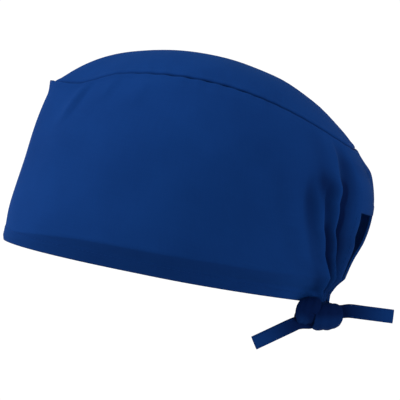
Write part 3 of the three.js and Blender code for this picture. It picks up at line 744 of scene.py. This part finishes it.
def soft_dents(points):
    """How far the slow unevenness of the cloth stands out, less than a millimetre."""
    out = np.zeros(points.shape[:-1])
    for row in DENTS:
        wave = np.sin(points @ np.array(row["way"]) + row["start"])
        out = out + row["height"] * wave * np.sin(points @ np.array(row["cross"]) + row["cross_start"])
    return out


def fold_depth(out):
    """How deep the cloth lies below the crests beside it, from 0 to 1, for a ring of columns by rows: the
    share of painted shade in a fold.
    """
    crest = out.copy()
    for step in range(1, CREST_REACH + 1):
        crest = np.maximum(crest, np.maximum(np.roll(out, step, axis=0), np.roll(out, -step, axis=0)))
    return np.clip((crest - out) / FULL_DEPTH, 0.0, 1.0)


def from_slit(columns, rows, base, height):
    """How far each point lies beside the slit and above it, in millimetres along the cloth."""
    across = lengths(base, 0)
    left = across[nearest(columns, SLIT_COLUMN)] - across
    right = across - across[nearest(columns, -SLIT_COLUMN)]
    beside = np.maximum(np.minimum(left, right), 0.0)
    top = height[:, nearest(rows, SLIT_TOP_UP)]
    return beside, np.maximum(height - top[:, None], 0.0)


def level_line(grid, out, level, kept, at):
    """Points and directions out, along a grid's first axis, where level reaches at on its second axis."""
    points, ways = [], []
    for i in np.flatnonzero(kept):
        points.append(between(at, level[i], grid[i]))
        ways.append(between(at, level[i], out[i]))
    return np.array(points), unit(np.array(ways))


def stitch_lines(columns, rows, outer, out, height):
    """The lines of stitching along the lower hem and the slit's two hems."""
    lines = [level_line(outer, out, height, np.abs(columns) < SLIT_COLUMN, HEM - STITCH_INSIDE)]
    low = rows < SLIT_TOP_UP
    across = lengths(outer, 0)
    for side, step in ((1.0, -1), (-1.0, 1)):
        edge = nearest(columns, side * SLIT_COLUMN)
        picked = edge + step * np.arange(SLIT_HEM_COLUMNS)
        from_edge = np.abs(across - across[edge])
        grids = [np.swapaxes(grid[picked][:, low], 0, 1) for grid in (outer, out, from_edge)]
        lines.append(level_line(*grids, height[edge, low] > HEM, SLIT_HEM - STITCH_INSIDE))
    return lines


def make_stitches(name, lines, material):
    """Rows of stitches along lines of points with their directions out."""
    points, faces = [], []
    turn = np.arange(STITCH_SIDES) * 2.0 * math.pi / STITCH_SIDES
    ring = np.arange(STITCH_SIDES)
    for line, ways in lines:
        run = lengths(line, 0)
        middles = np.arange(STITCH_PITCH, run[-1] - STITCH_PITCH / 2, STITCH_PITCH)
        tangents = unit(np.gradient(line, axis=0))
        for middle in middles:
            at = between(middle, run, line)
            way = unit(between(middle, run, ways))
            along = unit(between(middle, run, tangents))
            side = np.cross(along, way)
            start = len(points) * STITCH_SIDES
            for row in STITCH_RINGS:
                centre = at + along * row["along"] * STITCH_LENGTH + way * row["lift"] * STITCH_LIFT
                radius = row["size"] * STITCH_THICK / 2
                points.append(centre + radius * (np.cos(turn)[:, None] * side + np.sin(turn)[:, None] * way))
            for k in range(len(STITCH_RINGS) - 1):
                a = start + k * STITCH_SIDES + ring
                b = start + k * STITCH_SIDES + (ring + 1) % STITCH_SIDES
                faces.extend(np.stack([a, a + STITCH_SIDES, b + STITCH_SIDES, b], axis=-1).tolist())
            faces.append((start + ring).tolist())
            faces.append((start + (len(STITCH_RINGS) - 1) * STITCH_SIDES + ring[::-1]).tolist())
    mesh = bpy.data.meshes.new(name)
    mesh.from_pydata((np.concatenate(points) * MM).tolist(), [], faces)
    mesh.polygons.foreach_set("use_smooth", np.ones(len(faces), dtype=bool))
    mesh.materials.append(material)
    mesh.update()
    return add_object(name, mesh)


def tucked(points):
    """The band's points drawn in above the knot."""
    middle, along, up, out = knot_frame()
    away = points - middle
    far = np.hypot(away @ along - TUCK_ALONG, away @ up - TUCK_UP) / TUCK_REACH
    pull = TUCK_DEPTH * np.exp(-(far**3)) * smooth((away @ out) / TUCK_OUT)
    return points - pull[..., None] * out


def band_hems(columns, rows, base, height):
    """How far the hems stand out, and the groove that their stitching makes."""
    beside, above = from_slit(columns, rows, base, height)
    hem = 1.0 - smooth((height - HEM) / HEM_STEP_OVER + 1.0)
    slit_hem = 1.0 - smooth((np.maximum(beside, above) - SLIT_HEM) / HEM_STEP_OVER + 1.0)
    from_line = np.abs(height - HEM + STITCH_INSIDE)
    from_line = np.minimum(from_line, np.abs(beside - SLIT_HEM + STITCH_INSIDE) + above)
    return HEM_STEP * np.maximum(hem, slit_hem), -GROOVE * np.exp(-((from_line / GROOVE_WIDTH) ** 2))


def band_lift(column, height, below_seam):
    """How far the front ledge stands up, and the lower back corners hang down."""
    corner = np.exp(-(((np.abs(column) - CORNER_COLUMN) / CORNER_WIDTH) ** 2))
    corner = corner * (1.0 - smooth(height / CORNER_RISE))
    ledge = np.exp(-((column / LEDGE_COLUMNS) ** 2) - ((below_seam - LEDGE_AT) / LEDGE_WIDTH) ** 2)
    return LEDGE_RISE * ledge * smooth(below_seam / LEDGE_CLOSED_OVER) - CORNER_DROP * corner


def band_painted_shade(column, up, below_seam):
    """The band's painted shade, from 0 to 1: at the bottom of its folds, along the seam and below the crease.
    """
    around = np.abs(column)
    folded = fold_depth(fold_out(column, up)) * smooth((around - BACK_COLUMNS_FROM) / FOLDS_DARK_OVER)
    grows = smooth((around - CREASE_FROM[0]) / (CREASE_FROM[1] - CREASE_FROM[0]))
    fades = smooth((CREASE_TO[1] - around) / (CREASE_TO[1] - CREASE_TO[0]))
    turned_in = CREASE_SHADE * grows * fades * smooth((CREASE_UP - up) / CREASE_SHADE_EDGE)
    return np.maximum(np.maximum(folded, seam_shade(column, below_seam)), turned_in)


def make_band(material):
    """The band, and the lines along which its hems are stitched."""
    columns, rows = band_columns(), band_rows()
    column, up = np.meshgrid(columns, rows, indexing="ij")
    base = band_point(column, up)
    height = lengths(base, 1)
    below_seam = height[:, -1:] - height
    run = lengths(base[:, RUN_ROW : RUN_ROW + 1], 0)
    out = outwards(base)
    hem, groove = band_hems(columns, rows, base, height)
    base[..., 2] += band_lift(column, height, below_seam)
    base = tucked(base)
    free = smooth(below_seam / DENTS_BELOW_SEAM) * smooth(height / DENTS_ABOVE_RIM)
    relief = seam_relief(below_seam) + puckers(below_seam, run) + hem + groove + soft_dents(base) * free
    outer = base + out * relief[..., None]
    inner = outer - out * (CLOTH + hem)[..., None]
    open_cell = (np.abs(columns) >= SLIT_COLUMN)[:, None] & (rows[:-1] < SLIT_TOP_UP - 1e-6)[None, :]
    open_cell[nearest(columns, -SLIT_COLUMN)] = False
    uv = np.stack([np.broadcast_to(run, height.shape), height], axis=-1)
    painted_shade = band_painted_shade(column, up, below_seam)
    piece = shell("cap_band", outer, inner, uv, painted_shade, ~open_cell, material)
    return piece, stitch_lines(columns, rows, outer, out, height)


def make_crown(material):
    columns = band_columns()
    near_seam = np.linspace(1.0, CROWN_SEAM_ROWS_TO, CROWN_SEAM_ROWS)
    shares = np.concatenate([near_seam, np.linspace(CROWN_SEAM_ROWS_TO, 0.0, CROWN_ROWS)[1:]])
    shares[-1] = CROWN_LEAST
    column, share = np.meshgrid(columns, shares, indexing="ij")
    base = crown_point(column, share)
    away = lengths(base, 1)
    run = lengths(base[:, :1], 0)
    out = outwards(base)
    out[:, -1] = (0.0, 0.0, 1.0)
    dents = CROWN_DENTS * soft_dents(base * CROWN_DENTS_CLOSER) * smooth(away / CROWN_DENTS_FROM_SEAM)
    relief = seam_relief(away) + puckers(away, run + CROWN_PUCKERS_ON) + dents
    outer = base + out * relief[..., None]
    inner = outer - out * CLOTH
    present = np.ones((len(columns), len(shares) - 1), dtype=bool)
    painted_shade = seam_shade(column, away)
    return shell("cap_crown", outer, inner, base[..., :2], painted_shade, present, material)


def knot_frame():
    turn = math.radians(KNOT_TURN)
    _, y, z = (float(v) for v in rim_point(np.array(180.0)))
    middle = np.array([KNOT_ASIDE, y + KNOT_BEHIND, z - KNOT_BELOW])
    along = np.array([-math.sin(turn), math.cos(turn), 0.0])
    out = np.array([math.cos(turn), math.sin(turn), 0.0])
    return middle, along, np.array([0.0, 0.0, 1.0]), out


def knot_point(row):
    """The place of a row that says how far it lies along, up and out from the knot's middle."""
    middle, along, up, out = knot_frame()
    return middle + row["along"] * along + row["up"] * up + row["out"] * out


def tie_stations(side):
    """A tie's places, the ways its flat side looks, its widths and thicknesses. side is 1 for the left."""
    up, out = knot_frame()[2:]
    corner = band_point(np.array(side * SLIT_COLUMN), np.array(0.0))
    beside = band_point(np.array(side * (SLIT_COLUMN - TIE_ROOT_COLUMNS)), np.array(0.0))
    run = beside - corner
    face = unit(np.array([-run[1] * side, run[0] * side, 0.0]))
    start = corner + run * (0.5 * TIE_ROOT_WIDTH / np.linalg.norm(run))
    start = start - up * TIE_ROOT_GAP - face * CLOTH / 2
    stations = [(start - up * drop, face, TIE_ROOT_WIDTH, TIE_THICK) for drop in (0.0, TIE_ROOT_DROP)]
    for row in LEFT_TIE if side > 0 else RIGHT_TIE:
        angle = math.radians(row["face"])
        look = math.cos(angle) * up + math.sin(angle) * out
        stations.append((knot_point(row), look, row["width"], row["thick"]))
    for row in LEFT_TIE_TAIL if side > 0 else RIGHT_TIE_TAIL:
        stations.append((knot_point(row), out, TIE_WIDTH, TIE_THICK))
    return zip(*stations)


def curve_through(values, steps):
    """A smooth curve through rows of numbers, with so many steps between each two."""
    values = np.array(values, dtype=float).reshape(len(values), -1)
    ends = np.concatenate([2 * values[:1] - values[1:2], values, 2 * values[-1:] - values[-2:-1]])
    t = np.arange(steps)[:, None] / steps
    parts = []
    for p0, p1, p2, p3 in zip(ends[:-3], ends[1:-2], ends[2:-1], ends[3:]):
        bend = 2 * p0 - 5 * p1 + 4 * p2 - p3
        parts.append(0.5 * (2 * p1 + (p2 - p0) * t + bend * t**2 + (3 * p1 - p0 - 3 * p2 + p3) * t**3))
    return np.concatenate(parts + [values[-1:]])


def tie_run(side):
    """A tie's middle line, its widths and thicknesses, and the ways across it and out of its face."""
    places, looks, widths, thicks = tie_stations(side)
    faces = [looks[0]]
    for look in looks[1:]:
        faces.append(look if np.dot(look, faces[-1]) >= TURNED_OVER else -look)
    at = curve_through(places, TIE_STEPS)
    way = unit(np.gradient(at, axis=0))
    across = unit(np.cross(curve_through(faces, TIE_STEPS), way))
    width = curve_through(widths, TIE_STEPS)[:, 0]
    thick = curve_through(thicks, TIE_STEPS)[:, 0]
    return at, width, thick, across, np.cross(way, across)


def tie_section(width, thick, run):
    """Places across a tie's face and then its back, how far out they lie, and how bunched it is."""
    bunched = smooth((width - TIE_WIDTH - BUNCHED_FROM) / BUNCHED_OVER)[None, :]
    half = np.cos(np.linspace(0.0, math.pi, TIE_SIDE_POINTS))
    places = np.concatenate([half, half[::-1]])[:, None]
    sign = np.repeat([1.0, -1.0], TIE_SIDE_POINTS)[:, None]
    flat = np.sqrt(np.clip(1.0 - np.abs(places) ** TIE_SQUARENESS, 0.0, 1.0))
    rolled = np.sqrt(np.clip(1.0 - np.abs(places) ** WRAP_SQUARENESS, 0.0, 1.0))
    high = 0.5 * np.maximum(mix(flat, rolled, bunched), TIE_EDGE)
    from_stitches = (TIE_GROOVE_AT - np.abs(places)) / TIE_GROOVE_WIDTH
    groove = TIE_GROOVE * np.exp(-(from_stitches**2)) * (1.0 - bunched)
    turn = WRAP_CREASE_TURNS * places + WRAP_CREASE_ASIDE * sign + run / WRAP_CREASE_SLANT
    creases = WRAP_CREASE * bunched * np.sin(turn) * (1.0 - places**2)
    return places, sign * ((high - groove) * thick + creases), bunched


def tube_faces(round_count, steps):
    """Quads of a flat tube, its two ends last, and how many quads those take."""
    index = np.arange(round_count * steps).reshape(round_count, steps)
    beside = np.roll(index, -1, axis=0)
    sides = np.stack([index[:, 1:], beside[:, 1:], beside[:, :-1], index[:, :-1]], axis=-1).reshape(-1, 4)
    ends = []
    for step, order in ((0, 1), (steps - 1, -1)):
        for k in range(round_count // 2 - 1):
            quad = index[[k, k + 1, round_count - 2 - k, round_count - 1 - k], step]
            ends.append(quad[::order])
    return np.concatenate([sides, np.array(ends)]), len(ends)


def tie_painted_shade(side, ring, at, bunched):
    """A tie's painted shade, from 0 to 1: bunched in the knot, and where its tail leaves the knot."""
    middle, along = knot_frame()[:2]
    away = ring - middle
    inner = LEFT_WRAP_INNER * smooth((away @ along - LEFT_WRAP_FROM) / LEFT_WRAP_OVER)
    wrap = LEFT_WRAP_SHADE + inner if side > 0 else RIGHT_WRAP_SHADE
    top = WRAP_TOP_SHADE * smooth((away[..., 2] - WRAP_TOP_FROM) / WRAP_TOP_OVER)
    beyond = np.linalg.norm(at - middle, axis=-1) - TAIL_LIGHT_FROM
    tail = TAIL_SHADE * (1.0 - smooth(beyond / TAIL_LIGHT_OVER)) * (1.0 - bunched)
    return np.clip(np.maximum((wrap + top) * bunched, tail), 0.0, 1.0)


def make_tie(name, side, material):
    """A tie as a flat tube of folded cloth, and the lines of stitching near its tail's edges."""
    at, width, thick, across, face = tie_run(side)
    run = lengths(at, 0)
    places, lift, bunched = tie_section(width, thick, run)
    ring = at + across * (places * width / 2)[..., None] + face * lift[..., None]
    faces, end_count = tube_faces(*ring.shape[:2])
    uv = np.stack(np.broadcast_arrays(run, places * TIE_WIDTH / 2), axis=-1).reshape(-1, 2)
    painted_shade = tie_painted_shade(side, ring, at, bunched)
    piece = make_mesh(name, ring.reshape(-1, 3), faces, uv, painted_shade, material, edge_faces=end_count)
    tail = (np.linalg.norm(at - knot_frame()[0], axis=-1) > TIE_STITCH_FROM) & (run > run[-1] / 2)
    lines = []
    for edge in (-TIE_STITCH_AT, TIE_STITCH_AT):
        for way in (-1.0, 1.0):
            line = at + across * (edge * width / 2)[:, None] + face * (way * thick * TIE_STITCH_OUT)[:, None]
            lines.append((line[tail], way * face[tail]))
    return piece, lines


def add_camera():
    azimuth, elevation = math.radians(VIEW_AZIMUTH), math.radians(VIEW_ELEVATION)
    level = math.cos(elevation)
    towards = np.array([math.sin(azimuth) * level, -math.cos(azimuth) * level, math.sin(elevation)])
    right = unit(np.array([-towards[1], towards[0], 0.0]))
    up = np.cross(towards, right)
    middle = PHOTO_PIXELS / 2
    target = right * (middle - ORIGIN_PIXEL[0]) * PIXEL + up * (ORIGIN_PIXEL[1] - middle) * PIXEL
    place = towards * VIEW_DISTANCE
    data = bpy.data.cameras.new("camera")
    data.sensor_width = SENSOR
    data.lens = SENSOR * VIEW_DISTANCE / (PHOTO_PIXELS * PIXEL)
    camera = add_object("camera", data)
    back = unit(place - target)
    side = unit(np.cross([0.0, 0.0, 1.0], back))
    over = np.cross(back, side)
    rows = [[side[i], over[i], back[i], place[i] * MM] for i in range(3)]
    camera.matrix_world = Matrix(rows + [[0.0, 0.0, 0.0, 1.0]])
    bpy.context.scene.camera = camera


def add_light(name, place, size, power):
    data = bpy.data.lights.new(name, "AREA")
    data.shape = "DISK"
    data.size = size
    data.energy = power
    light = add_object(name, data)
    light.location = place
    light.rotation_euler = (Vector(place) - Vector(LIGHTS_AIM)).to_track_quat("Z", "Y").to_euler()


def add_world():
    """A white wall all round at the height of the cap, and a dimmer ceiling and floor above and below it."""
    world = bpy.data.worlds.new("studio")
    world.use_nodes = True
    tree = world.node_tree
    coordinates = node(tree, "ShaderNodeTexCoord")
    split = node(tree, "ShaderNodeSeparateXYZ")
    steep = node(tree, "ShaderNodeMath", operation="ABSOLUTE")
    fade = node(tree, "ShaderNodeMapRange", interpolation_type="SMOOTHSTEP")
    fade.inputs["From Min"].default_value = WALL_SINE
    fade.inputs["From Max"].default_value = CEILING_SINE
    fade.inputs["To Min"].default_value = WALL_LIGHT
    fade.inputs["To Max"].default_value = CEILING_LIGHT
    tree.links.new(coordinates.outputs["Generated"], split.inputs[0])
    tree.links.new(split.outputs["Z"], steep.inputs[0])
    tree.links.new(steep.outputs[0], fade.inputs["Value"])
    tree.links.new(fade.outputs["Result"], tree.nodes["Background"].inputs["Strength"])
    tree.nodes["Background"].inputs["Color"].default_value = (1.0, 1.0, 1.0, 1.0)
    bpy.context.scene.world = world
    bpy.context.scene.view_settings.view_transform = "Standard"


def add_floor():
    half = FLOOR_SIZE / 2 * MM
    z = -FLOOR_BELOW * MM
    corners = [(-half, -half, z), (half, -half, z), (half, half, z), (-half, half, z)]
    mesh = bpy.data.meshes.new("floor")
    mesh.from_pydata(corners, [], [(0, 1, 2, 3)])
    mesh.materials.append(plain_material("floor_paper", FLOOR_COLOUR, FLOOR_ROUGHNESS))
    floor = add_object("floor", mesh)


def add_piece(piece, nodes):
    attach(piece, BODY)
    if nodes:
        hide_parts(*nodes)


add_camera()
add_world()
for light in LIGHTS:
    add_light(**light)
add_floor()

cap_cloth = cloth_material("cap_poplin")
tie_cloth = cloth_material("tie_poplin")
thread = plain_material("thread", THREAD_COLOUR, THREAD_ROUGHNESS)

band, hem_lines = make_band(cap_cloth)
add_piece(band, ["side_band"])
crown = make_crown(cap_cloth)
add_piece(crown, ["crown_panel"])
left_tie, left_lines = make_tie("cap_tie_left", 1, tie_cloth)
add_piece(left_tie, ["tie_left"])
right_tie, right_lines = make_tie("cap_tie_right", -1, tie_cloth)
add_piece(right_tie, ["tie_right"])
add_piece(make_stitches("cap_hem_stitches", hem_lines, thread), [])
add_piece(make_stitches("cap_tie_stitches", left_lines + right_lines, thread), [])
